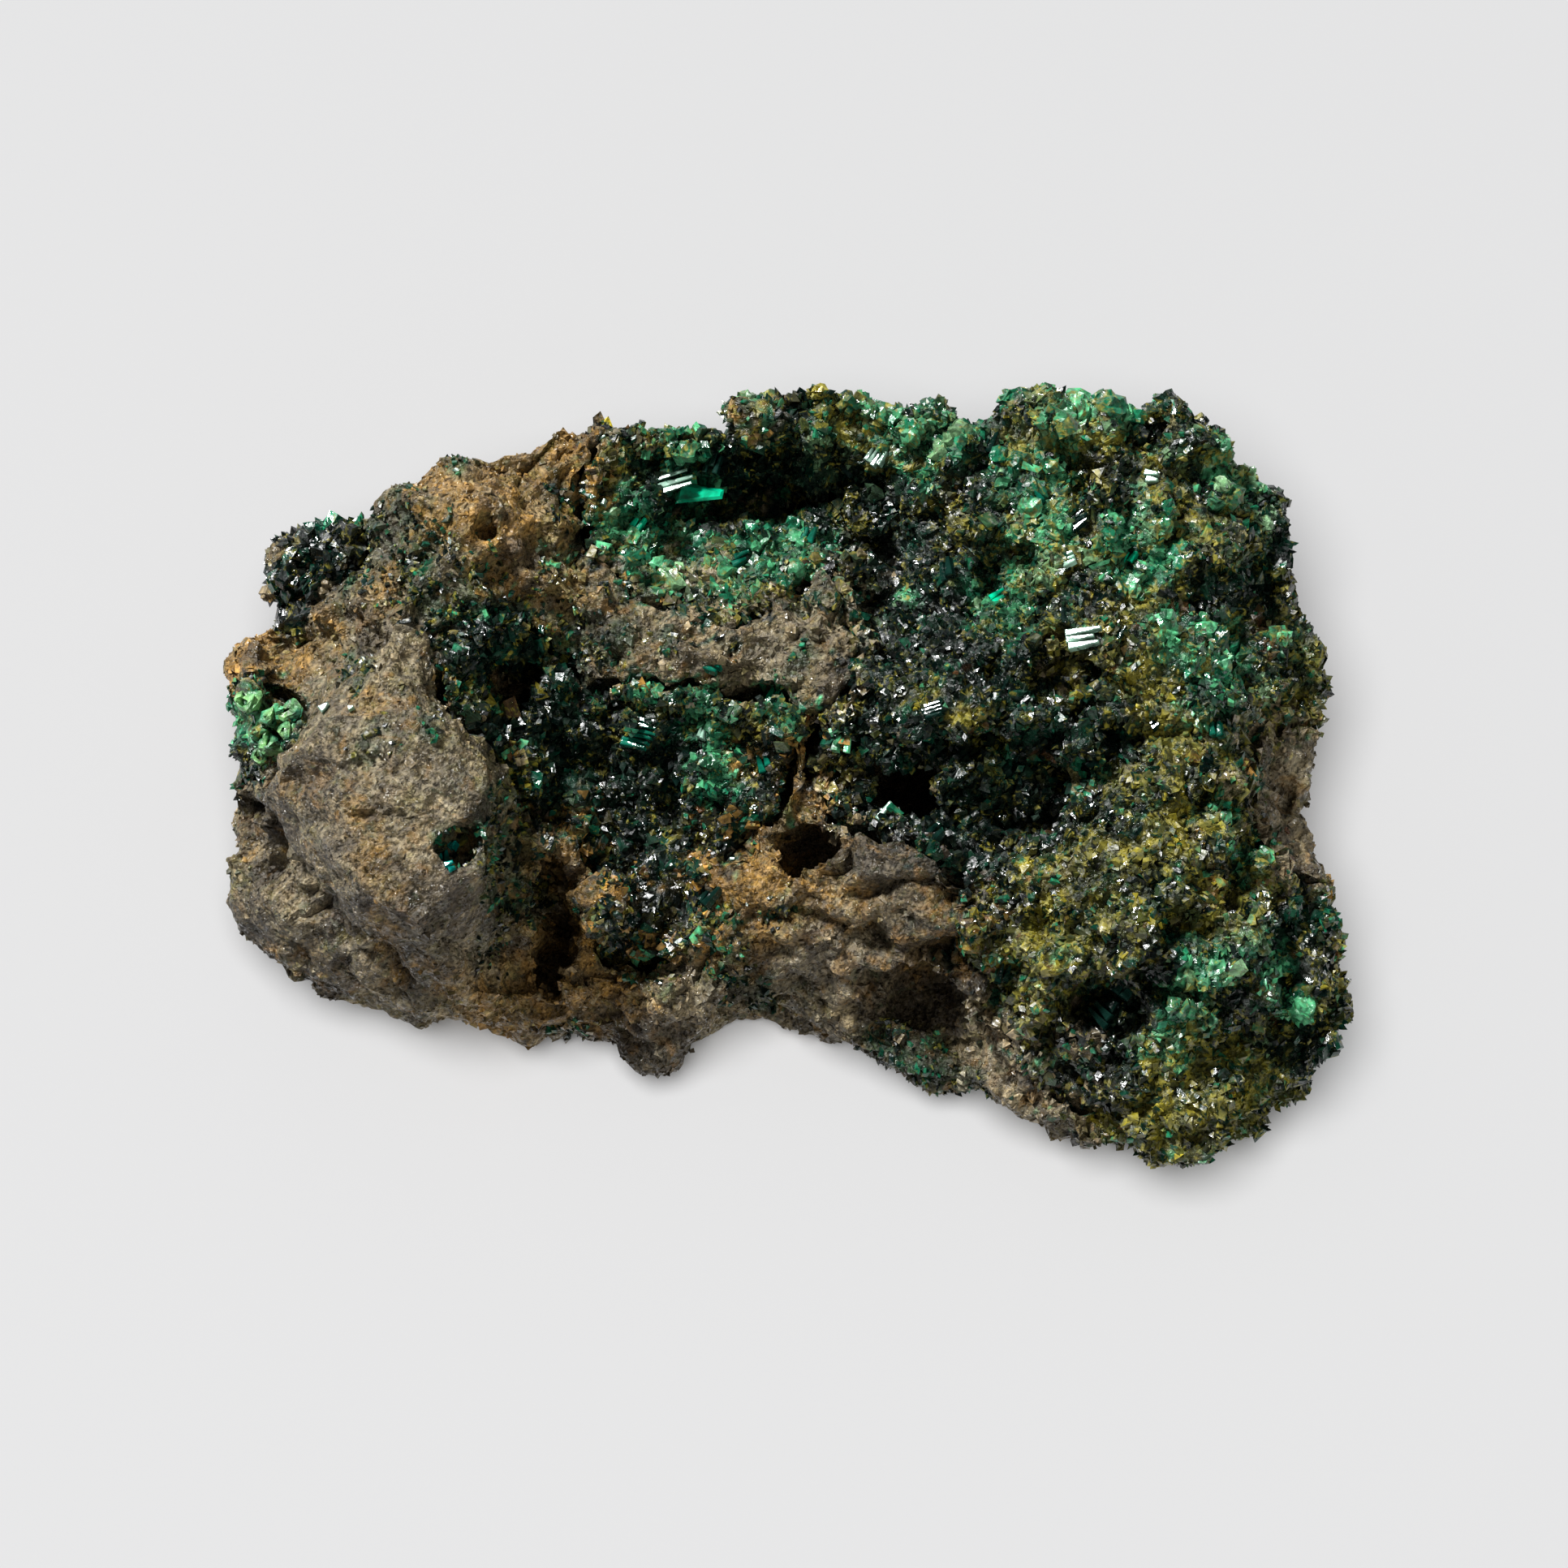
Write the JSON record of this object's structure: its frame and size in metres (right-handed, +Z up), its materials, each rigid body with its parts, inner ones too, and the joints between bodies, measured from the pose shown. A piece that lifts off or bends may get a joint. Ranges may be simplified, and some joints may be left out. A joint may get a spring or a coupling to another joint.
{
  "type": "brochantite specimen",
  "caption": "Rough lump of brown matrix rock with crusts of dark green brochantite crystals, lying on a flat broken base.",
  "frame": {"origin": "centre of the bounding box, on the surface that the rock rests on", "axes": "+X along the specimen's length towards the broad crystal-covered end, +Y towards its back, +Z up"},
  "size_m": [0.0656, 0.0436, 0.0232],
  "materials": {
    "matrix": "rough, sugary brown-grey rock with ochre stains",
    "main_druse": "vitreous dark green to teal crystals, dusted yellow-green",
    "central_druse": "vitreous near-black green crystals",
    "back_spray": "vitreous deep emerald crystals",
    "edge_rosettes": "bright jade-green rosettes"
  },
  "bodies": {
    "root": {"matrix_rock": "matrix", "main_druse": "main_druse", "central_druse": "central_druse", "back_spray": "back_spray", "edge_rosettes": "edge_rosettes"}
  },
  "joints": []
}
